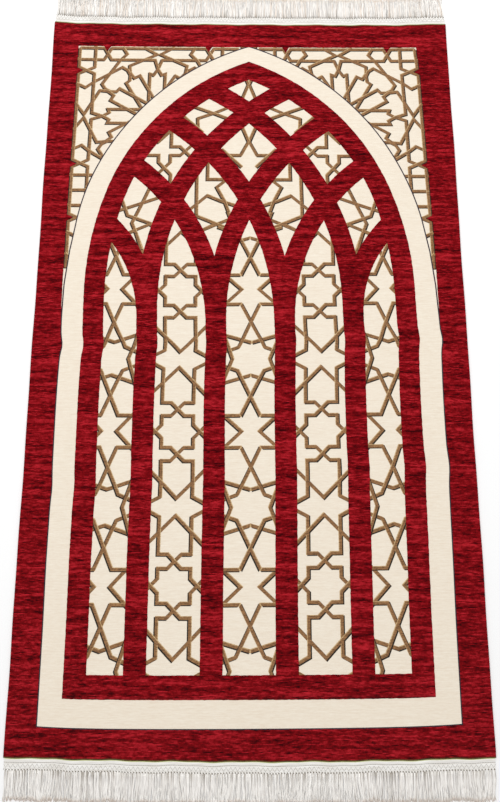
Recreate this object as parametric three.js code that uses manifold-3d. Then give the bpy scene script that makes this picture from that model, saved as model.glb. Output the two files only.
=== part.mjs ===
// Chenille prayer rug with a fringed trim at each end, laid flat.
// Millimetres, +Z up. The floor is z = 0, +X is the width and +Y runs up to the arch's point.
import * as THREE from 'three';
import { mergeVertices } from 'three/addons/utils/BufferGeometryUtils.js';
import Module from 'manifold-3d';

// Cloth: one woven piece, cut square at the ends and turned at the sides
const clothWidth = 680;
const clothLength = 1150;
const clothThickness = 3;
const edgeRound = 0.8;
const edgeRoundSteps = 2;

// Unevenness of the outline: the weft bows towards the foot, so the head end is hollow and the
// foot end is full, and every edge wanders a little
const headHollow = 4.4;
const headCornerPower = 6;
const footSwell = 5.2;
const footRise = 3;
const endWander = { size: 0.5, wave: 92 };
const sideWander = { size: 0.35, wave: 310 };
const wanderOvertone = { size: 0.6, wave: 0.43, shift: 1.3 };
const outlineStep = 17;

// Trim at each end: a narrow tape, 0.3 mm off the cloth's cut end, with the strands fused into it
const trimGap = 0.3;
const tapeWidth = 15;
const tapeThickness = 1.4;
const tapeInset = 1;

// Strands, gathered into locks of four sides that lie level on the floor
const lockCount = 146;
const lockLength = 37;
const lockRootDepth = 4;
const lockSteps = 3;
const lockWidth = { root: 3.3, tip: 2.3 };
const lockTopShare = 0.55;
const lockHeight = { root: 1.1, middle: 1.9, tip: 0.9 };
const lockTrim = { size: 1.2, wave: 61 };
const lockSway = { size: 2.1, wave: 118 };
const lockCurl = { size: 0.55, wave: 41 };

const clothColour = 0x8e0f18;
const trimColour = 0xf1ece6;

const halfWidth = clothWidth / 2;
const halfLength = clothLength / 2;
const turn = 2 * Math.PI;

// A slow wave with a shorter one on it, along an edge
function wander(along, { size, wave }) {
  const slow = Math.sin((turn * along) / wave);
  const quick = Math.sin((turn * along) / (wave * wanderOvertone.wave) + wanderOvertone.shift);
  return size * (slow + wanderOvertone.size * quick);
}

function headEdge(x) {
  const hollow = headHollow * (1 - Math.abs(x / halfWidth) ** headCornerPower);
  return halfLength - hollow + wander(x, endWander);
}

function footEdge(x) {
  const swell = footSwell * (1 - (x / halfWidth) ** 2);
  return -halfLength + footRise - swell + wander(x + endWander.wave / 3, endWander);
}

function sideEdge(y, side) {
  return side * halfWidth + wander(y + (side * sideWander.wave) / 5, sideWander);
}

// Even stations from one value to another, both ends included
function stations(from, to, step) {
  const count = Math.max(1, Math.round(Math.abs(to - from) / step));
  return Array.from({ length: count + 1 }, (_, i) => from + ((to - from) * i) / count);
}

function clothShape() {
  const across = stations(-halfWidth, halfWidth, outlineStep);
  const along = stations(-halfLength, halfLength, outlineStep * 2).slice(1, -1);
  const points = [
    ...across.map((x) => [x, footEdge(x)]),
    ...along.map((y) => [sideEdge(y, 1), y]),
    ...across.toReversed().map((x) => [x, headEdge(x)]),
    ...along.toReversed().map((y) => [sideEdge(y, -1), y]),
  ];
  return new THREE.Shape(points.map(([x, y]) => new THREE.Vector2(x, y)));
}

function clothGeometry() {
  const geometry = new THREE.ExtrudeGeometry(clothShape(), {
    depth: clothThickness - 2 * edgeRound,
    bevelEnabled: true,
    bevelThickness: edgeRound,
    bevelSize: edgeRound,
    bevelOffset: -edgeRound,
    bevelSegments: edgeRoundSteps,
  });
  return geometry.translate(0, 0, edgeRound);
}

// The tape follows the cloth's end at an even gap; side is 1 at the head and -1 at the foot
function tapeGeometry(endEdge, side) {
  const across = stations(-halfWidth, halfWidth, outlineStep).map((x) =>
    THREE.MathUtils.clamp(x, tapeInset - halfWidth, halfWidth - tapeInset)
  );
  const inner = across.map((x) => [x, endEdge(x) + side * trimGap]);
  const outer = across.toReversed().map((x) => [x, endEdge(x) + side * (trimGap + tapeWidth)]);
  const shape = new THREE.Shape([...inner, ...outer].map(([x, y]) => new THREE.Vector2(x, y)));
  return new THREE.ExtrudeGeometry(shape, { depth: tapeThickness, bevelEnabled: false });
}

// One lock: a box of a few steps, bent sideways, with a sloping top and a level underside
function lockGeometry(x, rootY, side) {
  const length = lockLength + wander(x, lockTrim);
  const sway = wander(x, lockSway);
  const curl = wander(x, lockCurl);
  const geometry = new THREE.BoxGeometry(1, 1, 1, 1, lockSteps, 1);
  const position = geometry.getAttribute('position');
  for (let i = 0; i < position.count; i += 1) {
    const t = 0.5 + side * position.getY(i);
    const top = position.getZ(i) > 0;
    const width = THREE.MathUtils.lerp(lockWidth.root, lockWidth.tip, t) * (top ? lockTopShare : 1);
    const rise = THREE.MathUtils.lerp(lockHeight.root, lockHeight.tip, t);
    const swell = (lockHeight.middle - (lockHeight.root + lockHeight.tip) / 2) * Math.sin(Math.PI * t);
    const bend = sway * t * t + curl * Math.sin(turn * t);
    position.setXYZ(
      i,
      x + position.getX(i) * width + bend,
      rootY + side * (t * (length + lockRootDepth) - lockRootDepth),
      top ? rise + swell : 0
    );
  }
  return geometry;
}

const wasm = await Module();
wasm.setup();

function toSolid(geometry) {
  geometry.deleteAttribute('normal');
  geometry.deleteAttribute('uv');
  const merged = mergeVertices(geometry);
  return new wasm.Manifold(
    new wasm.Mesh({
      numProp: 3,
      vertProperties: new Float32Array(merged.getAttribute('position').array),
      triVerts: new Uint32Array(merged.getIndex().array),
    })
  );
}

function toGeometry(solid) {
  const mesh = solid.getMesh();
  const geometry = new THREE.BufferGeometry();
  geometry.setAttribute('position', new THREE.BufferAttribute(mesh.vertProperties, 3));
  geometry.setIndex(new THREE.BufferAttribute(mesh.triVerts, 1));
  geometry.computeVertexNormals();
  return geometry;
}

function trimGeometry(endEdge, side) {
  const reach = halfWidth - tapeInset - lockWidth.root / 2;
  const pitch = (2 * reach) / (lockCount - 1);
  const pieces = [toSolid(tapeGeometry(endEdge, side))];
  for (let i = 0; i < lockCount; i += 1) {
    const x = -reach + i * pitch;
    pieces.push(toSolid(lockGeometry(x, endEdge(x) + side * (trimGap + tapeWidth), side)));
  }
  return toGeometry(wasm.Manifold.union(pieces));
}

const chenille = new THREE.MeshStandardMaterial({ color: clothColour, roughness: 0.95, metalness: 0 });
const viscose = new THREE.MeshStandardMaterial({
  color: trimColour,
  roughness: 0.7,
  metalness: 0,
  flatShading: true,
});

function part(name, geometry, material) {
  const mesh = new THREE.Mesh(geometry, material);
  mesh.name = name;
  return mesh;
}

const rug = new THREE.Group();
rug.add(part('rug_cloth', clothGeometry(), chenille));
rug.add(part('fringe_head', trimGeometry(headEdge, 1), viscose));
rug.add(part('fringe_foot', trimGeometry(footEdge, -1), viscose));

// The origin is the middle of the whole rug, on the floor
const middle = new THREE.Box3().setFromObject(rug).getCenter(new THREE.Vector3());
rug.position.set(-middle.x, -middle.y, 0);

export default rug;
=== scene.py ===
import math
import random
from itertools import product

import bmesh
import bpy
from mathutils import Matrix, Vector
from mathutils.geometry import delaunay_2d_cdt


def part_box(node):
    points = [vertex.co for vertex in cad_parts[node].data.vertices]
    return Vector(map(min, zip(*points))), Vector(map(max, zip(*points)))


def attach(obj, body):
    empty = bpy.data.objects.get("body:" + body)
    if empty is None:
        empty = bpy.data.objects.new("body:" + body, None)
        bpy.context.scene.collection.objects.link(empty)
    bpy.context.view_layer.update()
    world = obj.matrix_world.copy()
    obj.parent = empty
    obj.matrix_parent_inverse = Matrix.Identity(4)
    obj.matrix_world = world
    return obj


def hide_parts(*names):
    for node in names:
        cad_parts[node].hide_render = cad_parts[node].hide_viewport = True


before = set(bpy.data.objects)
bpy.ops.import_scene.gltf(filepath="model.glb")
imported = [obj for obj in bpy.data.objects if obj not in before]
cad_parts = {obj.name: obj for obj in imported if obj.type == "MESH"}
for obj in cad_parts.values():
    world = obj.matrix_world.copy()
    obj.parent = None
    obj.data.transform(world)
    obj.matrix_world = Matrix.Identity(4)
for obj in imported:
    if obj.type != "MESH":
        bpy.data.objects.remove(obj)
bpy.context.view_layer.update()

# Lengths are millimetres on the flat cloth, with x across it and y towards the arch's point.
# laid() takes a point of the flat cloth to its place in the frame, in metres.
random.seed(680115)
mm = 0.001

# The cloth's outline, as in the part's source
cloth = {
    "halfWidth": 340.0,
    "halfLength": 575.0,
    "headHollow": 4.4,
    "headCornerPower": 6,
    "footSwell": 5.2,
    "footRise": 3.0,
    "endWander": (0.5, 92.0),
    "sideWander": (0.35, 310.0),
    "overtone": (0.6, 0.43, 1.3),  # share, wave and shift of the shorter wave
    "step": 17,
}


def wander(along, size, wave):
    share, shorter, shift = cloth["overtone"]
    slow = math.sin(math.tau * along / wave)
    quick = math.sin(math.tau * along / (wave * shorter) + shift)
    return size * (slow + share * quick)


def headEdge(x):
    hollow = cloth["headHollow"] * (1 - abs(x / cloth["halfWidth"]) ** cloth["headCornerPower"])
    return cloth["halfLength"] - hollow + wander(x, *cloth["endWander"])


def footEdge(x):
    swell = cloth["footSwell"] * (1 - (x / cloth["halfWidth"]) ** 2)
    size, wave = cloth["endWander"]
    return cloth["footRise"] - cloth["halfLength"] - swell + wander(x + wave / 3, size, wave)


def sideEdge(y, side):
    size, wave = cloth["sideWander"]
    return side * cloth["halfWidth"] + wander(y + side * wave / 5, size, wave)


def stations(start, end, step):
    count = max(1, round(abs(end - start) / step))
    return [start + (end - start) * i / count for i in range(count + 1)]


def clothOutline(step):
    across = stations(-cloth["halfWidth"], cloth["halfWidth"], step)
    along = stations(-cloth["halfLength"], cloth["halfLength"], step * 2)[1:-1]
    foot = [(x, footEdge(x)) for x in across]
    right = [(sideEdge(y, 1), y) for y in along]
    head = [(x, headEdge(x)) for x in reversed(across)]
    left = [(sideEdge(y, -1), y) for y in reversed(along)]
    return foot + right + head + left


def middleOf(points, axis):
    values = [p[axis] for p in points]
    return (min(values) + max(values)) / 2


# The frame's origin is the middle of the whole rug, so the flat cloth is moved a little
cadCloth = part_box("rug_cloth")
flatCloth = clothOutline(cloth["step"])
moved = Vector([middleOf(cadCloth, axis) * 1000 - middleOf(flatCloth, axis) for axis in (0, 1)])


def ramp(value, start, end):
    t = min(1.0, max(0.0, (value - start) / (end - start)))
    return t * t * (3 - 2 * t)


def band(value, start, full, fading, end):
    return ramp(value, start, full) * (1 - ramp(value, fading, end))


def bell(value, reach):
    return math.exp(-((value / reach) ** 2))


# How the weave lies: its middle line drifts, its foot bows, and the cloth isn't quite flat
weave = {
    "fieldHalf": 299.0,
    "drift": -1.5,
    "headDrift": (-1.7, 120, 370),  # how far, from and to what y
    "swings": [(1.6, 10, 60), (0.9, -200, 95), (0.5, 375, 50)],  # how far, at what y, reach
    # Two old folds still show as a small sideways step: y in the middle, slope, reach, push
    # at the left edge, in the middle and at the right edge
    "folds": [(9.5, 0.017, 13, 3.0, 0.9, 2.8), (-195, 0.053, 20, 1.3, 0.2, 2.4)],
    # The cream's left and right edges lie to the right: how far, from and to what x, and where
    # along y this ends
    "edgePull": (1.75, 0.1),
    "edges": (262, 290),
    "edgesEnd": (250, 450),
    "cornerPull": (-4.0, 262, 290, 465, 535),  # how far, from and to what x, from and to what y
    "footSqueeze": (0.0035, 300, 420),
    "border": (302, 338),  # the border takes up the drift, so the rug's sides stay in place
    # The wefts of the field rise to the right and sag a little left of the middle
    "skew": (2.4, 30, 250),
    "sag": (1.0, -90, 80),
    "skewRows": (-475, -440, 110, 190),  # a band of y: starts, is full, fades and ends
    "skewEnds": (262, 295),
    "headCorners": 1.5,
    "headRows": (420, 500, 545, 572),
    "footBow": (-1.7, 2.2, 1.0),  # flat, curved and leaning parts
    "footCorners": 2.6,
    "footRows": (380, 530, 540, 568),
    "footLean": (-0.6, -0.9),
    "lastRows": (540, 572),
    "cockle": 0.22,
    "cockles": (61, 149, 83, 131, 1.7),
}


def driftAt(x, y, across):
    # How far a point of the weave lies off to the right
    push, start, end = weave["headDrift"]
    drift = weave["drift"] + push * ramp(y, start, end)
    for swing, at, reach in weave["swings"]:
        drift += swing * bell(y - at, reach)
    pull = weave["edgePull"][0 if x < 0 else 1]
    drift += pull * ramp(abs(x), *weave["edges"]) * (1 - ramp(y, *weave["edgesEnd"]))
    for at, slope, reach, left, centre, right in weave["folds"]:
        push = centre + ((left if x < 0 else right) - centre) * min(1, across**2)
        drift += push * bell(y - at - slope * x, reach)
    pull, x0, x1, y0, y1 = weave["cornerPull"]
    drift += pull * ramp(x, x0, x1) * ramp(y, y0, y1)
    share, start, end = weave["footSqueeze"]
    drift -= x * share * ramp(-y, start, end)
    return drift * (1 - ramp(abs(x), *weave["border"]))


def bowAt(x, y, across):
    # How far a point of the weave lies off towards the head
    flat, curve, lean = weave["footBow"]
    bow = flat + curve * across**2 + lean * across + weave["footCorners"] * across**6
    bow *= band(-y, *weave["footRows"])
    flat, lean = weave["footLean"]
    bow += (flat + lean * across) * ramp(-y, *weave["lastRows"])
    bow += weave["headCorners"] * across**4 * band(y, *weave["headRows"])
    rise, left, right = weave["skew"]
    sag, at, reach = weave["sag"]
    skew = rise * ramp(x, left, right) - sag * bell(x - at, reach)
    return bow + skew * band(y, *weave["skewRows"]) * (1 - ramp(x, *weave["skewEnds"]))


def laid(x, y, z):
    across = x / weave["fieldHalf"]
    drift, bow = driftAt(x, y, across), bowAt(x, y, across)
    x1, y1, y2, x2, shift = weave["cockles"]
    wave = math.sin(x / x1 + y / y1) + math.sin(y / y2 - x / x2 + shift)
    lift = weave["cockle"] * (2 + wave) / 2
    return Vector((x + drift + moved.x, y + bow + moved.y, z + lift)) * mm


def layDown(bm):
    for vert in bm.verts:
        vert.co = laid(*vert.co)


# The camera stands where the photograph was taken from, above the foot end
view = {
    "target": (-0.8, 78.2),
    "distance": 1211.0,
    "azimuth": 2.081,
    "elevation": 76.06,
    "roll": 2.179,
    "lens": 34.25,
    "shiftY": -0.126,
}


def addObject(name, data):
    thing = bpy.data.objects.new(name, data)
    bpy.context.collection.objects.link(thing)
    return thing


def meshObject(bm, name):
    mesh = bpy.data.meshes.new(name)
    bm.to_mesh(mesh)
    bm.free()
    return addObject(name, mesh)


def makeCamera():
    azimuth, elevation, roll = (math.radians(view[key]) for key in ("azimuth", "elevation", "roll"))
    x, y = view["target"]
    place = Matrix.Translation(Vector((x + moved.x, y + moved.y, 0)) * mm)
    place @= Matrix.Rotation(-azimuth, 4, "Z")
    place @= Matrix.Rotation(math.pi / 2 - elevation, 4, "X")
    place @= Matrix.Rotation(roll, 4, "Z")
    place @= Matrix.Translation((0, 0, view["distance"] * mm))
    camera = addObject("camera", bpy.data.cameras.new("camera"))
    camera.data.lens = view["lens"]
    camera.data.sensor_width = 36
    camera.data.shift_y = view["shiftY"]
    camera.matrix_world = place
    bpy.context.scene.camera = camera


makeCamera()
print("camera placed")


def addNode(tree, kind, links=None, **settings):
    # links: input name or number to an output socket or a plain value
    node = tree.nodes.new(kind)
    for key, value in settings.items():
        setattr(node, key, value)
    for key, value in (links or {}).items():
        if isinstance(value, bpy.types.NodeSocket):
            tree.links.new(value, node.inputs[key])
        else:
            node.inputs[key].default_value = value
    return node


def calc(tree, operation, *values):
    return addNode(tree, "ShaderNodeMath", dict(enumerate(values)), operation=operation).outputs[0]


def times(tree, first, second):
    return calc(tree, "MULTIPLY", first, second)


def plus(tree, first, second):
    return calc(tree, "ADD", first, second)


def weighed(tree, parts, shares):
    # The parts, each times its share, added up
    total = times(tree, parts[0], shares[0])
    for part, share in zip(parts[1:], shares[1:]):
        total = plus(tree, total, times(tree, part, share))
    return total


def spread(tree, value, low, high, start=0.0, end=1.0):
    # What lies from low to high comes to lie from start to end
    node = addNode(tree, "ShaderNodeMapRange", {0: value, 1: low, 2: high, 3: start, 4: end})
    return node.outputs[0]


def blend(tree, factor, first, second):
    node = addNode(tree, "ShaderNodeMix", {0: factor, 6: first, 7: second}, data_type="RGBA")
    return node.outputs[2]


def axes(tree, vector):
    return addNode(tree, "ShaderNodeSeparateXYZ", {0: vector}).outputs


def joined(tree, x, y):
    return addNode(tree, "ShaderNodeCombineXYZ", {0: x, 1: y}).outputs[0]


def noise(tree, vector, scale, detail, roughness=0.5):
    links = {"Vector": vector, "Scale": scale, "Detail": detail, "Roughness": roughness}
    return addNode(tree, "ShaderNodeTexNoise", links).outputs[0]


def makeGroup(name, outputs, **inputs):
    # A group takes a vector and a few values, and gives out values
    tree = bpy.data.node_groups.new(name, "ShaderNodeTree")
    tree.interface.new_socket("Vector", in_out="INPUT", socket_type="NodeSocketVector")
    for label, value in inputs.items():
        socket = tree.interface.new_socket(label, in_out="INPUT", socket_type="NodeSocketFloat")
        socket.default_value = value
    for label in outputs:
        tree.interface.new_socket(label, in_out="OUTPUT", socket_type="NodeSocketFloat")
    return tree, tree.nodes.new("NodeGroupInput").outputs, tree.nodes.new("NodeGroupOutput").inputs


# Noises are given as scale, detail and roughness; ways as how fast it changes along and across
rowsLook = {
    "apart": 7.31,  # how far apart in the noise two neighbouring rows are
    "streak": (1.0, 3.0, 0.6),
    "bunch": (1.0, 3.0, 0.55),
    "bunchWays": (0.45, 0.4),
}
weaveLook = {
    "heights": (0.7, 0.3),  # shares of the ribs and of the warp ends
    "yarn": (1.0, 4.0, 0.6),
    "yarnWays": (0.035, 0.45),
}


def makeYarnRows():
    # Weft rows across the cloth: each row's colour changes along it, and rows bunch into streaks
    outputs = ("Streak", "Bunch", "Row")
    tree, given, out = makeGroup("yarnRows", outputs, Pitch=0.0016, Length=0.03)
    place = axes(tree, given["Vector"])
    rows = calc(tree, "DIVIDE", place["Y"], given["Pitch"])
    run = calc(tree, "DIVIDE", place["X"], given["Length"])
    single = joined(tree, run, times(tree, calc(tree, "FLOOR", rows), rowsLook["apart"]))
    along, across = rowsLook["bunchWays"]
    wider = joined(tree, times(tree, run, along), times(tree, rows, across))
    ridge = calc(tree, "SINE", times(tree, calc(tree, "FRACT", rows), math.pi))
    tree.links.new(noise(tree, single, *rowsLook["streak"]), out["Streak"])
    tree.links.new(noise(tree, wider, *rowsLook["bunch"]), out["Bunch"])
    tree.links.new(ridge, out["Row"])
    return tree


def makeFineWeave():
    # A flat weave seen close: weft ribs crossed by warp ends, with uneven yarn
    tree, given, out = makeGroup("fineWeave", ("Height", "Uneven"), Rib=0.0009, Warp=0.0014)
    place = axes(tree, given["Vector"])
    ribs = calc(tree, "DIVIDE", place["Y"], given["Rib"])
    ends = calc(tree, "DIVIDE", place["X"], given["Warp"])
    offset = plus(tree, ends, times(tree, calc(tree, "FLOOR", ribs), 0.5))
    waves = [calc(tree, "SINE", times(tree, way, math.pi)) for way in (ribs, offset)]
    height = weighed(tree, [calc(tree, "ABSOLUTE", wave) for wave in waves], weaveLook["heights"])
    along, across = weaveLook["yarnWays"]
    yarn = joined(tree, times(tree, ends, along), times(tree, ribs, across))
    tree.links.new(height, out["Height"])
    tree.links.new(noise(tree, yarn, *weaveLook["yarn"]), out["Uneven"])
    return tree


def makeUnderside():
    # 1 on the face that lies on the floor, 0 above it
    tree, given, out = makeGroup("underside", ("Mask",), Level=0.0011)
    below = calc(tree, "LESS_THAN", axes(tree, given["Vector"])["Z"], given["Level"])
    tree.links.new(below, out["Mask"])
    return tree


groups = {"rows": makeYarnRows(), "weave": makeFineWeave(), "underside": makeUnderside()}


def useGroup(tree, name, vector, **inputs):
    links = {"Vector": vector, **inputs}
    return addNode(tree, "ShaderNodeGroup", links, node_tree=groups[name]).outputs


def colour(red, green, blue):
    # An sRGB colour of 0 to 255, as the linear value a socket takes
    parts = [part / 255 for part in (red, green, blue)]
    return (*[p / 12.92 if p <= 0.04045 else ((p + 0.055) / 1.055) ** 2.4 for p in parts], 1.0)


def newMaterial(name, roughness, sheen, specular):
    material = bpy.data.materials.new(name)
    material.use_nodes = True
    shader = material.node_tree.nodes["Principled BSDF"].inputs
    shader["Roughness"].default_value = roughness
    shader["Sheen Weight"].default_value = sheen
    shader["Sheen Roughness"].default_value = 0.5
    shader["Specular IOR Level"].default_value = specular
    return material, material.node_tree, shader


def painted(name, look, paint):
    # Every paint function gives a face's colour and its height at a place on the object
    material, tree, shader = newMaterial(name, *look["surface"])
    place = addNode(tree, "ShaderNodeTexCoord").outputs["Object"]
    face, height = paint(tree, place, look)
    bump = addNode(tree, "ShaderNodeBump", {"Height": height, "Distance": look["relief"]})
    tree.links.new(face, shader["Base Color"])
    tree.links.new(bump.outputs[0], shader["Normal"])
    return material


def backed(tree, place, face, look):
    # The back's colour shows where the cloth lies on the floor
    return blend(tree, useGroup(tree, "underside", place)["Mask"], face, look["back"])


# In every look, "surface" is roughness, sheen and specular level, and "tones" are where a mix of
# noises starts and ends to change the colour
chenilleLook = {
    "dark": colour(56, 0, 4),
    "body": colour(127, 7, 15),
    "bright": colour(190, 35, 46),
    "back": colour(140, 70, 62),
    "surface": (0.95, 0.03, 0.05),
    "pitch": 0.0016,
    "streak": 0.012,
    "patch": 0.05,
    "patchRows": 1.9,  # rows of single streaks in one row of the patches
    "fuzz": (900.0, 3.0, 0.7),
    "shares": (0.48, 0.36, 0.16),  # of the streaks, the patches and the fuzz
    "tones": (0.4, 0.5),
    "brightTones": (0.5, 0.61),
    "relief": 0.0005,
    "heights": (0.6, 0.3, 0.6),  # shares of the rows, the fuzz and the streaks
    "lean": 0.3,  # the pile lies towards the foot
}


def paintChenille(tree, place, look):
    rows = useGroup(tree, "rows", place, Pitch=look["pitch"], Length=look["streak"])
    broad = look["pitch"] * look["patchRows"]
    patches = useGroup(tree, "rows", place, Pitch=broad, Length=look["patch"])
    fuzz = noise(tree, place, *look["fuzz"])
    tone = weighed(tree, (rows["Streak"], patches["Bunch"], fuzz), look["shares"])
    face = blend(tree, spread(tree, tone, *look["tones"]), look["dark"], look["body"])
    face = blend(tree, spread(tree, tone, *look["brightTones"]), face, look["bright"])
    height = weighed(tree, (rows["Row"], fuzz, rows["Streak"]), look["heights"])
    slope = times(tree, axes(tree, place)["Y"], look["lean"] / look["relief"])
    return backed(tree, place, face, look), plus(tree, height, slope)


groundLook = {
    "body": colour(243, 234, 218),
    "shade": colour(229, 214, 194),
    "back": colour(226, 208, 188),
    "surface": (0.85, 0.08, 0.2),
    "pitch": 0.0012,
    "streak": 0.011,
    "tones": (0.3, 0.7),
    "shares": (0.45, 0.55),  # of the weave and the streaks
    "relief": 0.00012,
}


def paintGround(tree, place, look):
    fine = useGroup(tree, "weave", place)
    rows = useGroup(tree, "rows", place, Pitch=look["pitch"], Length=look["streak"])
    parts = [spread(tree, part, *look["tones"]) for part in (fine["Uneven"], rows["Streak"])]
    face = blend(tree, weighed(tree, parts, look["shares"]), look["body"], look["shade"])
    return backed(tree, place, face, look), fine["Height"]


# The flat woven threads: how all of them are woven, and each one's surface, light and deep colour
floatLook = {
    "rib": 0.0008,
    "warp": 0.0009,
    "pitch": 0.0011,
    "streak": 0.0032,
    "tones": (0.38, 0.6),
    "shares": (0.4, 0.6),  # of the weave and the streaks
    "relief": 0.0002,
}
floats = {
    "gold": ("latticeGold", (0.6, 0.1, 0.35), colour(166, 120, 74), colour(102, 68, 34)),
    "ochre": ("latticeOchre", (0.6, 0.1, 0.35), colour(220, 192, 144), colour(168, 128, 78)),
    "shadow": ("latticeShadow", (0.75, 0.1, 0.35), colour(38, 28, 10), colour(14, 10, 3)),
    "outline": ("outlineDark", (0.75, 0.1, 0.35), colour(58, 46, 62), colour(30, 22, 34)),
    "endRow": ("endRows", (0.8, 0.1, 0.35), colour(112, 84, 36), colour(62, 44, 18)),
}


def paintFloat(tree, place, look):
    fine = useGroup(tree, "weave", place, Rib=look["rib"], Warp=look["warp"])
    rows = useGroup(tree, "rows", place, Pitch=look["pitch"], Length=look["streak"])
    mottled = weighed(tree, (fine["Uneven"], rows["Streak"]), look["shares"])
    face = blend(tree, spread(tree, mottled, *look["tones"]), look["light"], look["deep"])
    return face, fine["Height"]


tapeLook = {
    "body": colour(253, 251, 247),
    "shade": colour(226, 221, 213),
    "surface": (0.75, 0.05, 0.2),
    "rib": 0.0008,
    "warp": 0.0011,
    "tones": (0.35, 0.7),
    "relief": 0.0002,
    # Colour of each feature, and how strongly it shows
    "zigzagLine": (colour(146, 138, 129), 0.65),
    "hemLine": (colour(146, 138, 129), 0.9),
    # The holes' colour is painted shade inside them; their dip in height is real relief
    "holePaintedShade": (colour(112, 102, 88), 0.9),
    "sewnEdge": (colour(214, 222, 158), 1.0),
    # Where each lies, in millimetres from the cloth, and half its width
    "sewn": 0.8,
    "hem": 5.3,
    "hemHalf": 0.35,
    "zigzag": 9.4,
    "zigzagHalf": 0.4,
    "zigzagReach": 2.4,
    "zigzagPitch": 6.4,
    "holes": 14.0,
    "holeHalf": 0.7,
    "holePitch": 4.0,
    "holeShare": 0.45,  # of the pitch
    "holeDepth": 2.0,
}


def near(tree, value, centre, half):
    away = calc(tree, "ABSOLUTE", calc(tree, "SUBTRACT", value, centre))
    return calc(tree, "LESS_THAN", away, half)


def paintTape(tree, place, look):
    # The tape's own map gives the way along it and the distance from the cloth, in metres
    spot = addNode(tree, "ShaderNodeUVMap", uv_map="along").outputs[0]
    fine = useGroup(tree, "weave", spot, Rib=look["rib"], Warp=look["warp"])
    along, away = (times(tree, axes(tree, spot)[axis], 1 / mm) for axis in "XY")
    half, reach = look["zigzagPitch"] / 2, look["zigzagReach"]
    swing = spread(tree, calc(tree, "PINGPONG", along, half), 0.0, half, -reach, reach)
    zigzag = near(tree, away, plus(tree, swing, look["zigzag"]), look["zigzagHalf"])
    hem = near(tree, away, look["hem"], look["hemHalf"])
    beat = calc(tree, "FRACT", calc(tree, "DIVIDE", along, look["holePitch"]))
    pierced = calc(tree, "LESS_THAN", beat, look["holeShare"])
    hole = times(tree, near(tree, away, look["holes"], look["holeHalf"]), pierced)
    sewn = calc(tree, "LESS_THAN", away, look["sewn"])
    face = blend(tree, spread(tree, fine["Uneven"], *look["tones"]), look["body"], look["shade"])
    # The holes get painted shade here, besides their dip in height below
    features = {"zigzagLine": zigzag, "hemLine": hem, "holePaintedShade": hole, "sewnEdge": sewn}
    for feature, mask in features.items():
        tint, shows = look[feature]
        face = blend(tree, times(tree, mask, shows), face, tint)
    height = calc(tree, "SUBTRACT", fine["Height"], times(tree, hole, look["holeDepth"]))
    return face, plus(tree, height, zigzag)


strandLook = {
    "body": colour(255, 252, 248),
    # gap is a painted shade colour: strands that lie low and the roots of darker strands go towards
    # it, and so do some strands picked at random
    "gap": colour(140, 126, 106),
    "surface": (0.5, 0.05, 0.4),
    "fibre": (1600, 130, 900),
    "noise": (1.0, 2.0),
    "relief": 0.0001,
    # Each from low to high, and what that becomes
    # heights and roots: where the painted shade fades out, up the strands and along them from the root
    "heights": (0.0004, 0.0015),
    "roots": (0.0, 0.32, 0.35, 1.0),
    "paleRoots": (0.22, 0.3),  # the strand value from which a strand gets no painted shade at its root
    "dim": (0.0, 0.4, 0.66, 1.0),
    "uneven": (0.5, 0.8, 0.0, 0.4),
    "tinted": (0.76, 0.95, 0.0, 0.75),
    "tips": (0.84, 1.0, 0.0, 0.7),
    "unevenShade": colour(226, 221, 213),
    "tint": colour(232, 214, 196),
    "tip": colour(236, 216, 198),
}


def paintStrands(tree, place, look):
    # The strands' own map gives each one's shade and the way along it; low ones and the roots of the
    # darker ones get painted shade
    fibre = addNode(tree, "ShaderNodeMapping", {"Vector": place, "Scale": look["fibre"]}).outputs[0]
    uneven = noise(tree, fibre, *look["noise"])
    own = axes(tree, addNode(tree, "ShaderNodeUVMap", uv_map="yarn").outputs[0])
    pale = spread(tree, own["X"], *look["paleRoots"])
    rootShade = calc(tree, "MAXIMUM", spread(tree, own["Y"], *look["roots"]), pale)
    lit = times(tree, spread(tree, axes(tree, place)["Z"], *look["heights"]), rootShade)
    lit = times(tree, lit, spread(tree, own["X"], *look["dim"]))
    # Painted shade: lit runs from the gap colour, for low strands and shaded roots, to the body colour
    face = blend(tree, lit, look["gap"], look["body"])
    face = blend(tree, spread(tree, uneven, *look["uneven"]), face, look["unevenShade"])
    face = blend(tree, spread(tree, own["X"], *look["tinted"]), face, look["tint"])
    face = blend(tree, spread(tree, own["Y"], *look["tips"]), face, look["tip"])
    return face, uneven


stitchLook = {
    "body": colour(170, 163, 154),
    "shade": colour(226, 221, 213),
    "surface": (0.7, 0.05, 0.25),
    "turn": (0, 0, 0.6),
    "fibre": (2600, 900, 900),
    "noise": (1.0, 1.0),
    "tones": (0.35, 0.65),
    "relief": 0.0001,
}


def paintStitches(tree, place, look):
    turned = {"Vector": place, "Rotation": look["turn"], "Scale": look["fibre"]}
    plies = noise(tree, addNode(tree, "ShaderNodeMapping", turned).outputs[0], *look["noise"])
    face = blend(tree, spread(tree, plies, *look["tones"]), look["body"], look["shade"])
    return face, plies


materials = {
    "chenille": painted("chenilleCrimson", chenilleLook, paintChenille),
    "ground": painted("groundCream", groundLook, paintGround),
    "tape": painted("tapeIvory", tapeLook, paintTape),
    "strand": painted("strandIvory", strandLook, paintStrands),
    "stitch": painted("stitchYarn", stitchLook, paintStitches),
}
for key, (name, surface, light, deep) in floats.items():
    look = {**floatLook, "surface": surface, "light": light, "deep": deep}
    materials[key] = painted(name, look, paintFloat)
print("materials made:", len(materials))


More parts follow.
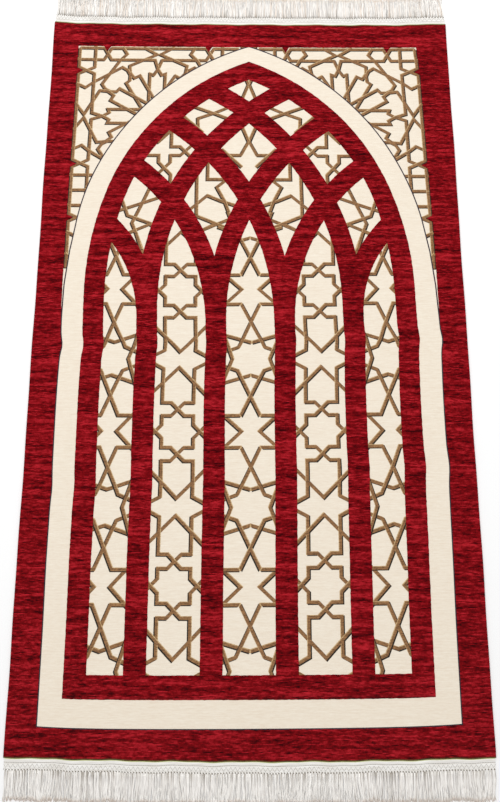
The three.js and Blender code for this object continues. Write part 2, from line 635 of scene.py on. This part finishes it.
# The woven pattern
border = {
    "half": 299.0,
    "narrowing": 6.0,  # the frame's inner edge draws in towards the head
    "narrows": (150, 530),
    "head": 526.5,
    "foot": -536.3,
    "headNotches": (238.2, 63.5, -69.0, -243.0),
    "sideNotches": (479.6, 308.5, 214.5),
    "notchHalf": 5.9,
    "notchDepth": 10.3,
    "notchClear": 2,
}
arches = {
    "cream": {"centre": (133.6, 125.7), "radius": 424.8, "half": 299.4, "ease": 12.0, "foot": -536.8},
    "outer": {"centre": (134.5, 132.4), "radius": 390.4, "half": 263.2, "ease": 20.2, "foot": -498.6},
    "inner": {"centre": (134.5, 132.4), "radius": 358.0, "half": 231.0, "ease": 15.2, "foot": -467.2},
}
# Each pillar carries a rib that leans inwards and one that leans outwards: where it springs, its
# radius, and how many degrees it turns
pillars = {
    "halfWidth": 16.3,
    "foot": -490,
    "outer": {"x": 162.8, "inward": (71.0, 421.0, 66), "outward": (47.5, 219.0, 80)},
    "inner": {"x": 54.15, "inward": (42.4, 415.0, 66), "outward": (38.0, 336.0, 66)},
}
# How far apart an outline's points are: millimetres on straight sides, radians on arcs
finely = {"end": 6, "frame": 20, "arch": 40, "easeArc": 0.06, "mainArc": 0.02, "ribArc": 0.03}
stroke = {
    "half": 2.5,
    "shade": (1.7, -1.35),  # where the dark edge shows, on the right half of the rug
    "lightShare": 0.6,
    "outline": 1.9,
    "step": 14.0,
    "sharpest": 0.3,  # keeps a sharp corner from running out to a spike
    "slant": 0.1,
}
pile = {
    "endRow": 1.4,
    "edge": 0.75,
    "ragged": 0.28,
    "step": 3.3,
    "net": 8.5,
    "netReach": (336, 568),
    "beyond": 5,
    "weld": 1e-3,
}

drawing = {"points": [], "edges": [], "faces": [], "marks": []}


def drawShape(mark, outline):
    start = len(drawing["points"])
    drawing["points"] += [Vector(p) for p in outline]
    drawing["faces"].append(list(range(start, start + len(outline))))
    drawing["marks"].append(mark)


def drawLine(outline):
    start = len(drawing["points"])
    count = len(outline)
    drawing["points"] += [Vector(p) for p in outline]
    drawing["edges"] += [(start + i, start + (i + 1) % count) for i in range(count)]


def grown(outline, by):
    # A closed outline, drawn anticlockwise, moved outwards
    ring = [Vector(p) for p in outline]
    result = []
    for before, here, after in zip(ring[-1:] + ring[:-1], ring, ring[1:] + ring[:1]):
        first = (here - before).normalized()
        second = (after - here).normalized()
        outward = Vector((first.y + second.y, -first.x - second.x))
        result.append(here + outward * by / max(0.35, 1 + first.dot(second)))
    return result


def stepped(outline, step):
    # Long sides get stations, so the outline follows the cloth's waves
    ring = [Vector(p) for p in outline]
    result = []
    for here, after in zip(ring, ring[1:] + ring[:1]):
        count = max(1, round((after - here).length / step))
        result += [here.lerp(after, i / count) for i in range(count)]
    return result


def jitter():
    return Vector((random.uniform(-1, 1), random.uniform(-1, 1)))


def ragged(outline):
    # The pile's edge: stations every few millimetres, each a little off the line
    return [point + jitter() * pile["ragged"] for point in stepped(outline, pile["step"])]


def bodyOutline(inset):
    # The cloth without its last rows at the head and the foot
    reach = cloth["halfWidth"] + pile["beyond"]
    across = stations(-reach, reach, finely["end"])
    foot = [(x, footEdge(x) + inset) for x in across]
    return foot + [(x, headEdge(x) - inset) for x in reversed(across)]


def frameHalf(y):
    return border["half"] - border["narrowing"] * ramp(y, *border["narrows"])


def frameOutline():
    half, depth = border["notchHalf"], border["notchDepth"]
    side = [(frameHalf(y), y) for y in stations(border["foot"], border["head"], finely["frame"])]
    for y in border["sideNotches"]:
        side = [p for p in side if abs(p[1] - y) > half + border["notchClear"]]
        side += [(frameHalf(y - half), y - half), (frameHalf(y) - depth, y)]
        side += [(frameHalf(y + half), y + half)]
    side.sort(key=lambda p: p[1])
    top = []
    for x in border["headNotches"]:
        top += [(x + half, border["head"]), (x, border["head"] - depth), (x - half, border["head"])]
    return side + top + [(-x, y) for x, y in reversed(side)]


def arc(x, y, radius, start, end, step):
    return [(x + radius * math.cos(a), y + radius * math.sin(a)) for a in stations(start, end, step)]


def archOutline(arch):
    # Four centres: an easing arc at the spring, then the main arc up to the point
    centreX, centreY = arch["centre"]
    ease = math.radians(arch["ease"])
    radius, half = arch["radius"], arch["half"]
    springRadius = (half + centreX - math.cos(ease) * radius) / (1 - math.cos(ease))
    springX = -centreX + math.cos(ease) * (radius - springRadius)
    springY = centreY + math.sin(ease) * (radius - springRadius)
    right = [(half, y) for y in stations(arch["foot"], springY, finely["arch"])[:-1]]
    right += arc(springX, springY, springRadius, 0, ease, finely["easeArc"])[:-1]
    right += arc(-centreX, centreY, radius, ease, math.acos(centreX / radius), finely["mainArc"])
    return right + [(-x, y) for x, y in reversed(right[:-1])]


def ribOutline(x, half, lean, spring, radius, sweep):
    # A rib rises from its pillar and leans over; lean is 1 to the right and -1 to the left
    turn = stations(0, math.radians(sweep), finely["ribArc"])
    sides = [(radius + half, a) for a in turn] + [(radius - half, a) for a in reversed(turn)]
    points = []
    for reach, a in sides:
        points.append((x + lean * (radius - reach * math.cos(a)), spring + reach * math.sin(a)))
    return points[::-1] if lean > 0 else points


def drawTracery(half, draw):
    foot = pillars["foot"]
    for side in (-1, 1):
        for name in ("outer", "inner"):
            x = side * pillars[name]["x"]
            ribs = [pillars[name]["inward"], pillars[name]["outward"]]
            top = max(spring for spring, radius, sweep in ribs)
            draw([(x - half, foot), (x + half, foot), (x + half, top), (x - half, top)])
            for rib, lean in zip(ribs, (-side, side)):
                draw(ribOutline(x, half, lean, *rib))


def drawEdged(mark, outline, by):
    drawShape(mark, outline)
    drawLine(grown(outline, by))


def drawShapes():
    # The pile's side slopes between each of its outlines and a second one inside it
    edge = pile["edge"]
    drawEdged("cloth", clothOutline(finely["end"]), -edge)
    drawShape("body", bodyOutline(pile["endRow"]))
    drawLine(bodyOutline(pile["endRow"] + edge))
    drawEdged("frame", ragged(frameOutline()), edge)
    cream = archOutline(arches["cream"])
    drawShape("cream", stepped(cream, pile["net"]))
    drawShape("creamInside", stepped(grown(cream, -stroke["outline"]), pile["net"]))
    drawEdged("outerArch", ragged(archOutline(arches["outer"])), -edge)
    drawEdged("innerArch", ragged(archOutline(arches["inner"])), edge)
    drawTracery(pillars["halfWidth"], lambda points: drawShape("rib", ragged(points)))
    drawTracery(pillars["halfWidth"] - edge, lambda points: drawLine(stepped(points, pile["net"])))
    # The net keeps every patch even enough to follow the cloth's waves
    across, along = (stations(-reach, reach, pile["net"]) for reach in pile["netReach"])
    drawing["points"] += [Vector((x, y)) + jitter() for x in across for y in along]


# The field repeats every 222.9 mm both ways. Even columns hold an eight-pointed star of two
# squares, odd ones a six-pointed star with a turned eight-pointed star between each two.
# A layer of chains passes under the next.
lattice = {
    "period": 222.9,
    "firstRow": 95.4,
    "middle": -105.0,
    "rows": 4,
    "columns": {
        # centre, stretch across and along, kind, left and right limit, upper limit
        "far": (213.3, 0.86, 1.0, "six", 162.5, 245, 190),
        "near": (109.3, 1.0, 0.991, "eight", 54.2, 162.5, 225),
        "mid": (-1.1, 1.0, 1.0, "six", -54.2, 54.2, 225),
    },
    "eight": [
        [
            [(50, -16), (24, 10), (24, 24), (10, 24), (-10, 44), (-24, 44), (-24, 96.8), (-52, 111.4)],
            [(-52, 47), (0, 99), (52, 47)],
        ],
    ],
    "six": [
        [
            [(50, 33), (13.4, 0), (50, -33)],
            [(-46, 72.5), (0, 85.7), (46, 72.5)],
            [(-46, 150.3), (0, 137.1), (46, 150.3)],
        ],
        [[(-50, 24), (-15.2, 24), (19.8, 93), (52, 104)]],
        [[(46, 65.5), (28.4, 111.4), (46, 157.4)]],
    ],
}
# Threads in the panes above the columns, on the left half
panes = {
    "topKite": [[(-10.5, 429), (0, 456), (6, 470)]],
    "shoulderKite": [
        [(-101, 417), (-59, 401.5), (-28, 389)],
        [(-29, 415), (-59, 401.5), (-85.5, 392), (-84.5, 370)],
        [(-112.5, 398.5), (-76.5, 366)],
    ],
    "sideKite": [
        [(-128.5, 374), (-128.5, 340.5), (-114, 340.5), (-91.5, 318)],
        [(-91.5, 346), (-113, 325), (-129.5, 325), (-129.5, 312.5), (-154, 287.5)],
        [(-173, 325), (-149, 325), (-149, 312.5), (-128.5, 290.5), (-129, 274)],
        [(-152, 347), (-129, 370)],
    ],
    "middleKite": [[(11.5, 378.5), (0, 350), (-13, 325.5), (-43, 325.5)], [(-45, 336.5), (-11, 304)]],
    "innerPane": [
        [(-85, 297), (-85.5, 218.5), (-51, 204), (-33, 196.5)],
        [(-101.5, 225), (-68, 254), (-46, 244.5), (-18.5, 235.5)],
        [(-67, 314.5), (-67.5, 282.5), (-37.5, 282.5)],
        [(-34.5, 283.5), (-52.5, 268.5), (-40, 244.5), (-28.5, 212.5)],
        [(-28.5, 214.5), (-56, 203), (-83.5, 190.5)],
    ],
    "outerPane": [
        [(-160, 272), (-172, 244.5), (-184, 218.5), (-190, 206), (-184.5, 192.5), (-167.5, 147.5)],
        [(-145, 251), (-177, 239.5), (-213, 227)],
        [(-210, 253), (-202.5, 233), (-197.5, 219), (-159, 205), (-198, 188)],
    ],
}
# The spandrel's square tile around a twelve-armed rosette; one eighth is drawn and turned
spandrel = {
    "centre": (-156.0, 395.8),
    "edge": 135.0,
    "squeeze": (0.985, 0.975, 0.815),  # below the middle, above it, and in the head band
    "headBand": 108,
    "headShift": (4.2, -4.2),  # how far the head band lies off, on the left and on the right
    "shiftReach": 40,
    "shiftRows": (50, 110),
    "reach": (-290, 180),  # copies of a thread past this aren't drawn
    "threads": [
        [(-142, 108), (-93, 108), (-80.5, 135), (0, 135)],
        [
            (-135, 135), (-93, 135), (-80.5, 108), (-6, 108), (0, 90),
            (6.8, 78.5), (13, 81), (13, 20),
        ],
        [
            (-138, 62), (-121.5, 54), (-108, 64.5), (-61, 93.5), (-51.5, 87.5),
            (-46.5, 78.5), (-46.5, 68), (-52.5, 63), (-24, 15),
        ],
        [
            (-26, 138), (-3, 121), (-48.5, 96.5), (-47, 82.5), (-39, 72.5),
            (-30, 77.5), (-1, 28),
        ],
    ],
}
threads = []


def addThread(region, points, layer=0):
    threads.append((region, [Vector(p) for p in points], layer))


def flipped(chain):
    # A chain and its mirrored copies, each once whichever way it runs
    copies = {tuple((fx * x, fy * y) for x, y in chain) for fx in (1, -1) for fy in (1, -1)}
    return sorted({min(copy, copy[::-1]) for copy in copies})


def addColumns():
    middle, foot = lattice["middle"], pillars["foot"]
    for side in (-1, 1):
        for name, (x, wide, tall, kind, low, high, top) in lattice["columns"].items():
            if name == "mid" and side > 0:
                continue
            cell = f"{name}{side}"
            left, right = sorted((side * low, side * high))
            drawShape(cell, [(left, foot), (right, foot), (right, top), (left, top)])
            layered = [(i, chain) for i, chains in enumerate(lattice[kind]) for chain in chains]
            for row in range(lattice["rows"]):
                y = lattice["firstRow"] - row * lattice["period"]
                for layer, chain in layered:
                    for flip in flipped(chain):
                        column = [(side * x + px * wide, y + py - middle) for px, py in flip]
                        addThread(cell, [(px, middle + py * tall) for px, py in column], layer)


def addPanes():
    for chains in panes.values():
        for chain in chains:
            addThread("field", chain)
            addThread("field", [(-x, y) for x, y in chain])


def tilePoint(x, y, side):
    # The tile is a little squeezed towards the head, and follows the frame's side
    edge, head = spandrel["edge"], spandrel["headBand"]
    below, above, inBand = spandrel["squeeze"]
    up = y * (below if y < 0 else above)
    if y > head:
        up = head * above + (y - head) * inBand
    centreX, centreY = spandrel["centre"]
    drawIn = (frameHalf(centreY + up) - frameHalf(centreY)) * min(1, max(0, -x / edge))
    left, right = spandrel["headShift"]
    if side < 0:
        shift = left * (x + edge) / (2 * edge)
    else:
        shift = right * ramp(x, -edge, spandrel["shiftReach"] - edge)
    shift *= ramp(y, *spandrel["shiftRows"])
    return -side * (centreX + x - drawIn) + shift, centreY + up


def tileCopies(chain):
    # A thread turned and mirrored eight ways, each with its copies in the tiles below and beside
    edge = spandrel["edge"]
    for swap, fx, fy in product((False, True), (1, -1), (1, -1)):
        turned = [(fx * y, fy * x) if swap else (fx * x, fy * y) for x, y in chain]
        yield turned
        yield [(x, -2 * edge - y) for x, y in turned]
        yield [(2 * edge - x, y) for x, y in turned]


def addSpandrels():
    lowest, furthest = spandrel["reach"]
    seen = set()
    for chain in spandrel["threads"]:
        for copy in tileCopies(chain):
            key = tuple(sorted(copy))
            past = min(y for x, y in copy) < lowest or max(x for x, y in copy) > furthest
            if past or key in seen:
                continue
            seen.add(key)
            for side in (-1, 1):
                addThread("spandrel", [tilePoint(x, y, side) for x, y in copy])


def drawThread(number, region, points, layer):
    # Each length is drawn three times: the gold yarn, its shaded copy, and between them the copy
    # that leaves a light edge
    half = stroke["half"]
    sides = []
    for i, here in enumerate(points):
        first = (here - points[i - 1]).normalized() if i else None
        second = (points[i + 1] - here).normalized() if i + 1 < len(points) else first
        first = first or second
        corner = max(stroke["sharpest"], 1 + first.dot(second))
        mitre = Vector((first.y + second.y, -first.x - second.x)) / corner
        sides.append((here + mitre * half, here - mitre * half))
    for i in range(len(points) - 1):
        run = points[i + 1] - points[i]
        centre = (points[i + 1] + points[i]) / 2
        facing = 1 if centre.x > 0 else -1
        shade = Vector((stroke["shade"][0] * facing, stroke["shade"][1]))
        # In one layer, lengths that run along the shade's own way pass under those that cross it
        over = 3 * layer + 1
        if abs(run.x * run.y) > stroke["slant"] * run.length_squared:
            over += 1 if run.x * run.y * facing > 0 else -1
        count = max(1, round(run.length / stroke["step"]))
        for j in range(count):
            a, b = j / count, (j + 1) / count
            right0, right1 = (sides[i][0].lerp(sides[i + 1][0], t) for t in (a, b))
            left1, left0 = (sides[i][1].lerp(sides[i + 1][1], t) for t in (b, a))
            quad = (right0, right1, left1, left0)
            for kind, push in (("yarn", 0.0), ("body", stroke["lightShare"]), ("shade", 1.0)):
                drawShape((kind, number, over, region), [p + shade * push for p in quad])


def threadZone(marks, shapes):
    # The topmost thread shows, and of two in one layer the later one. A thread's dark edge falls
    # on lower layers only, and never on itself
    inSpandrel = "frame" in shapes and "cream" not in shapes
    inPane = "innerArch" in shapes and "rib" not in shapes
    found = {}
    for kind, number, over, region in marks:
        if region == "spandrel":
            shows = inSpandrel
        else:
            shows = inPane and (region == "field" or region in shapes)
        if shows:
            kinds = found.setdefault(number, {})
            kinds[kind] = max(over, kinds.get(kind, 0))
    shown = [(0, 0, -1, "ground")]
    for number, kinds in found.items():
        if "yarn" in kinds:
            shown.append((kinds["yarn"], 1, number, "gold" if "body" in kinds else "ochre"))
        elif "shade" in kinds:
            shown.append((kinds["shade"] // 3 * 3, 0, number, "shadow"))
    return max(shown)[-1]


def zoneOf(marks):
    shapes = {m for m in marks if isinstance(m, str)}
    if "body" not in shapes:
        return "endRow"
    if "frame" not in shapes:
        return "border"
    if "outerArch" in shapes and ("innerArch" not in shapes or "rib" in shapes):
        return "tracery"
    if "cream" in shapes and "creamInside" not in shapes:
        return "outline"
    return threadZone([m for m in marks if not isinstance(m, str)], shapes)


zones = {}


def cutZones(*wanted):
    # Everything drawn so far, laid over itself and cut into patches of one zone each
    drawn = (drawing["points"], drawing["edges"], drawing["faces"])
    overlay = delaunay_2d_cdt(*drawn, 1, pile["weld"], True)  # 1 leaves out what lies outside
    for name in wanted:
        zones[name] = {"points": overlay[0], "faces": []}
    for corners, sources in zip(overlay[2], overlay[5]):
        marks = {drawing["marks"][s] for s in sources}
        zone = zoneOf(marks) if "cloth" in marks else None
        if zone in wanted:
            zones[zone]["faces"].append(corners)


# The plain zones are cut before the threads are drawn, so no hidden thread divides them
drawShapes()
cutZones("border", "tracery", "outline", "endRow")
addColumns()
addPanes()
addSpandrels()
for number, (region, points, layer) in enumerate(threads):
    drawThread(number, region, points, layer)
cutZones("gold", "ochre", "shadow")
print("pattern drawn:", {name: len(zone["faces"]) for name, zone in zones.items()})


def finishPiece(bm, name, material, node, angle=40):
    bmesh.ops.recalc_face_normals(bm, faces=bm.faces)
    piece = meshObject(bm, name)
    piece.data.shade_smooth()
    piece.data.set_sharp_from_angle(angle=math.radians(angle))
    piece.data.materials.append(materials[material])
    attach(piece, "root")
    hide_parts(node)
    print(name, "made:", len(piece.data.vertices), "points")
    return piece


def partPinches(bm):
    # Where two patches touch at one point only, each gets a point of its own
    for vert in list(bm.verts):
        rim = [e for e in vert.link_edges if e.is_boundary]
        if len(rim) > 2:
            bmesh.utils.vert_separate(vert, rim)


def wovenPatch(zone, low, high, drop, lift):
    # A flat patch of the overlay, given thickness; its rim is lower on top and higher below
    bm = bmesh.new()
    corner = {}
    for face in zones[zone]["faces"]:
        for index in face:
            if index not in corner:
                x, y = zones[zone]["points"][index]
                corner[index] = bm.verts.new((x, y, low))
        bm.faces.new([corner[index] for index in face])
    partPinches(bm)
    bmesh.ops.join_triangles(
        bm, faces=bm.faces, angle_face_threshold=0.1, angle_shape_threshold=0.7
    )
    rimLayer = bm.verts.layers.int.new("rim")
    for vert in bm.verts:
        vert[rimLayer] = int(vert.is_boundary)
    below = bm.verts[:]
    raised = bmesh.ops.extrude_face_region(bm, geom=bm.faces[:])["geom"]
    above = [part for part in raised if isinstance(part, bmesh.types.BMVert)]
    for vert in above:
        vert.co.z = high - drop * vert[rimLayer]
    for vert in below:
        vert.co.z = low + lift * vert[rimLayer]
    layDown(bm)
    return bm


clothPieces = {
    # zone: piece, material, slot, underside, top, how much lower the top's rim is, and how much
    # higher the rim below
    "border": ("borderPile", "chenille", "chenille_crimson", 0.02, 3.0, 0.75, 0.5),
    "tracery": ("traceryPile", "chenille", "chenille_crimson", 0.02, 3.0, 0.6, 0.0),
    "gold": ("latticeGold", "gold", "lattice_gold", 0.06, 2.5, 0.0, 0.0),
    "ochre": ("latticeOchre", "ochre", "lattice_gold", 0.06, 2.46, 0.0, 0.0),
    "shadow": ("latticeShadow", "shadow", "lattice_shadow", 0.08, 2.4, 0.0, 0.0),
    "outline": ("archOutline", "outline", "outline_dark", 0.08, 2.42, 0.0, 0.0),
    "endRow": ("endRows", "endRow", "lattice_shadow", 0.04, 2.5, 0.2, 0.2),
}
for zone, (name, material, slot, *heights) in clothPieces.items():
    patch = wovenPatch(zone, *heights)
    finishPiece(patch, name, material, "rug_cloth")


def slab(across, along):
    # A grid and its copy above, closed all round. Each point comes with its place on the grid,
    # from -1 to 1 both ways, and whether it lies above
    bm = bmesh.new()
    bmesh.ops.create_grid(bm, x_segments=across, y_segments=along, size=1)
    bmesh.ops.extrude_face_region(bm, geom=bm.faces[:])
    half = len(bm.verts) // 2
    return bm, [(vert, vert.co.x, vert.co.y, i >= half) for i, vert in enumerate(bm.verts)]


ground = {"inset": 1.3, "low": 0.12, "high": 2.2, "across": 84, "along": 140}


def makeGroundCloth():
    bm, points = slab(ground["across"], ground["along"])
    for vert, s, t, above in points:
        x = s * (cloth["halfWidth"] - ground["inset"])
        y0, y1 = footEdge(x) + ground["inset"], headEdge(x) - ground["inset"]
        y = y0 + (y1 - y0) * (t + 1) / 2
        vert.co = laid(x, y, ground["high"] if above else ground["low"])
    return finishPiece(bm, "groundCloth", "ground", "rug_cloth")


groundCloth = makeGroundCloth()


tape = {
    "gap": 0.3,
    "width": 15.0,
    "inset": 1.2,
    "low": 0.05,
    "high": 1.4,
    "hemRise": 0.75,
    "seamDepth": 0.4,
    "seamReach": 0.45,
    "edgeDrop": 0.25,
    "edge": (14.2, 15),
    "across": 170,
    "along": 30,
}
stitches = {
    # distance from the cloth, pitch, length, width and height of a stitch
    "rows": [(5.3, 3.2, 2.3, 0.6, 0.5), (12.9, 4.0, 2.4, 0.5, 0.4)],
    "inset": 2,
    "uneven": 0.12,
    "tilt": 0.09,
    "seat": 0.3,  # share of its height that a stitch's middle stands over the tape
}
fringe = {
    "layers": 4,
    "strands": 470,
    "steps": 8,
    "inset": 1.6,
    "length": 37.0,
    "rootDepth": 0.3,
    "radius": 0.47,
    "taper": 0.35,
    "low": 0.62,
    "layerRise": 0.3,
    "group": 4.0,  # strands crowd together between two stitch holes
    "crowding": 0.3,
    "crowdingEnds": 0.7,
    "footShade": 0.8,
    "tip": (15, 0.8),  # how far the tips bend, and from where along the strand
    "trim": (1.2, 61.0),
    "sway": (2.1, 118.0),
    "curl": (0.55, 41.0),
    # How far single strands differ
    "own": {"x": 0.4, "trim": 1.2, "sway": 0.9, "curl": 0.7, "wave": (9, 17), "rise": 0.5, "tip": 1.6},
    "seeds": {1: 5, -1: 3},  # at the head and at the foot
    "nextSeed": 11,
}


def tapeTop(away):
    # A rolled hem beside the cloth, a seam, a flat band, and a second seam at the strands
    high = tape["high"]
    if away < tapeLook["hem"]:
        high += tape["hemRise"] * (1 - (2 * away / tapeLook["hem"] - 1) ** 2)
    for row in stitches["rows"]:
        high -= tape["seamDepth"] * bell(away - row[0], tape["seamReach"])
    return high - tape["edgeDrop"] * ramp(away, *tape["edge"])


def addMap(bm, name, spots):
    uv = bm.loops.layers.uv.new(name)
    for face in bm.faces:
        for loop in face.loops:
            loop[uv].uv = spots[loop.vert]


# Each end of the rug: the cloth's edge there, and which way is outwards
ends = {"head": (headEdge, 1), "foot": (footEdge, -1)}


def finishTrim(bm, end, kind, material, angle=40):
    return finishPiece(bm, end + kind, material, f"fringe_{end}", angle)


def makeTrimTape(end):
    endEdge, side = ends[end]
    bm, points = slab(tape["across"], tape["along"])
    spots = {}
    for vert, s, t, above in points:
        x = s * (cloth["halfWidth"] - tape["inset"])
        away = (t + 1) / 2 * tape["width"]
        z = tape["low"]
        if above:
            z = tapeTop(away) - (tape["edgeDrop"] if abs(s) > 0.999 else 0)
        vert.co = laid(x, endEdge(x) + side * (tape["gap"] + away), z)
        spots[vert] = (x * mm, away * mm)
    addMap(bm, "along", spots)
    return finishTrim(bm, end, "Tape", "tape")


def makeStitches(end):
    endEdge, side = ends[end]
    bm = bmesh.new()
    reach = cloth["halfWidth"] - tape["inset"] - stitches["inset"]
    uneven, tilt = stitches["uneven"], stitches["tilt"]
    for away, pitch, length, width, height in stitches["rows"]:
        for x in stations(-reach, reach, pitch):
            x += random.uniform(-1, 1) * uneven
            y = endEdge(x) + side * (tape["gap"] + away + random.uniform(-1, 1) * uneven)
            stitch = bmesh.ops.create_icosphere(bm, subdivisions=1, radius=0.5)["verts"]
            bmesh.ops.scale(bm, verts=stitch, vec=(length, width, height))
            turn = Matrix.Rotation(random.uniform(-tilt, tilt), 3, "Z")
            bmesh.ops.rotate(bm, verts=stitch, cent=(0, 0, 0), matrix=turn)
            z = tapeTop(away) + height * stitches["seat"]
            bmesh.ops.translate(bm, verts=stitch, vec=(x, y, z))
    layDown(bm)
    return finishTrim(bm, end, "Stitches", "stitch")


def addRibbons(bm):
    # A grid cut into ribbons, each closed into a thin four-sided yarn. Each new point comes with
    # its ribbon's number, its place along it from -1 to 1, and its corner: the ribbon's two edges
    # become left and below, and their copies above and right
    known = set(bm.verts)
    last = 2 * fringe["strands"] - 1
    made = bmesh.ops.create_grid(bm, x_segments=last, y_segments=fringe["steps"], size=1)["verts"]
    column = {v: round((v.co.x + 1) / 2 * last) for v in made}
    faces = dict.fromkeys(f for v in made for f in v.link_faces)
    between = [f for f in faces if min(column[v] for v in f.verts) % 2 == 1]
    ribbons = [f for f in faces if min(column[v] for v in f.verts) % 2 == 0]
    bmesh.ops.delete(bm, geom=between, context="FACES_ONLY")
    loose = [e for e in bm.edges if not e.link_faces]
    bmesh.ops.delete(bm, geom=loose, context="EDGES_FACES")
    raised = bmesh.ops.extrude_face_region(bm, geom=ribbons)["geom"]
    above = {v for v in raised if isinstance(v, bmesh.types.BMVert)}
    corners = []
    for vert in [v for v in bm.verts if v not in known]:
        number, isRight = divmod(round((vert.co.x + 1) / 2 * last), 2)
        if vert in above:
            corner = (1, 0) if isRight else (0, 1)
        else:
            corner = (0, -1) if isRight else (-1, 0)
        corners.append((vert, number, vert.co.y, corner))
    return corners


def newStrand(side):
    own = fringe["own"]
    return {
        "x": random.uniform(-1, 1) * own["x"],
        "trim": random.gauss(0, own["trim"]),
        "sway": random.gauss(0, own["sway"]),
        "curl": random.gauss(0, own["curl"]),
        "wave": random.uniform(*own["wave"]) / 2,
        "start": random.uniform(0, math.tau),
        "rise": random.uniform(0.0, own["rise"]),
        "tip": random.gauss(0, own["tip"]),
        "shade": random.random() * (1.0 if side > 0 else fringe["footShade"]),
    }


def strandPoint(strand, number, layer, t, corner, end):
    # t is 0 at the root and 1 at the tip
    reach = cloth["halfWidth"] - tape["inset"] - fringe["inset"]
    pitch = 2 * reach / fringe["strands"]
    x = -reach + (number + 0.5 + layer / fringe["layers"] + strand["x"]) * pitch
    x = max(-reach, min(reach, x))
    crowding = fringe["crowding"] * (1 - fringe["crowdingEnds"] * t)
    x -= crowding * math.sin(math.tau * x / fringe["group"])
    length = fringe["length"] + wander(x, *fringe["trim"]) + strand["trim"]
    bend = (wander(x, *fringe["sway"]) + strand["sway"]) * t * t
    bend += wander(x, *fringe["curl"]) * math.sin(math.tau * t)
    bend += strand["curl"] * math.sin(strand["start"] + length * t / strand["wave"]) * t
    tipBend, tipStart = fringe["tip"]
    bend += strand["tip"] * tipBend * max(0, t - tipStart) ** 2
    radius = fringe["radius"] * (1 - fringe["taper"] * t * t)
    rise = fringe["low"] + layer * fringe["layerRise"] * (1 - 0.5 * t) + strand["rise"]
    away = tape["width"] + t * (length + fringe["rootDepth"]) - fringe["rootDepth"]
    endEdge, side = ends[end]
    y = endEdge(x) + side * (tape["gap"] + away)
    return Vector((x + bend + corner[0] * radius, y, rise + corner[1] * radius))


def makeStrands(end):
    side = ends[end][1]
    bm = bmesh.new()
    spots = {}
    for layer in range(fringe["layers"]):
        corners = addRibbons(bm)
        random.seed(fringe["nextSeed"] * layer + fringe["seeds"][side])
        strands = [newStrand(side) for k in range(fringe["strands"])]
        for vert, number, way, corner in corners:
            t = (way * side + 1) / 2
            vert.co = strandPoint(strands[number], number, layer, t, corner, end)
            spots[vert] = (strands[number]["shade"], t)
    addMap(bm, "yarn", spots)
    layDown(bm)
    return finishTrim(bm, end, "Strands", "strand", angle=180)


for end in ends:
    tapePiece = makeTrimTape(end)
    sewn = [makeStitches(end), makeStrands(end)]


studio = {
    "floor": 6.0,
    "floorColour": (0.95, 0.95, 0.95, 1),
    "floorSurface": (0.9, 0.0, 0.1),
    "world": 0.6,
    "panelPower": 38.5,
    "panelSize": 2.4,
    "panelAt": (-0.2, 0.85, 2.1),
    "panelAim": (0, 0.1, 0),
}


def makeStudio():
    bm = bmesh.new()
    bmesh.ops.create_grid(bm, x_segments=2, y_segments=2, size=studio["floor"])
    floor = meshObject(bm, "floor")
    material, tree, shader = newMaterial("floorPale", *studio["floorSurface"])
    shader["Base Color"].default_value = studio["floorColour"]
    floor.data.materials.append(material)
    world = bpy.data.worlds.new("studio")
    world.use_nodes = True
    sky = world.node_tree.nodes["Background"].inputs
    sky["Color"].default_value = (1, 1, 1, 1)
    sky["Strength"].default_value = studio["world"]
    bpy.context.scene.world = world
    lamp = bpy.data.lights.new("panel", "AREA")
    lamp.shape = "SQUARE"
    lamp.size = studio["panelSize"]
    lamp.energy = studio["panelPower"]
    panel = addObject("panel", lamp)
    panel.location = studio["panelAt"]
    aim = Vector(studio["panelAim"]) - panel.location
    panel.rotation_euler = aim.to_track_quat("-Z", "Y").to_euler()
    bpy.context.scene.view_settings.view_transform = "Standard"


makeStudio()
print("studio lit")
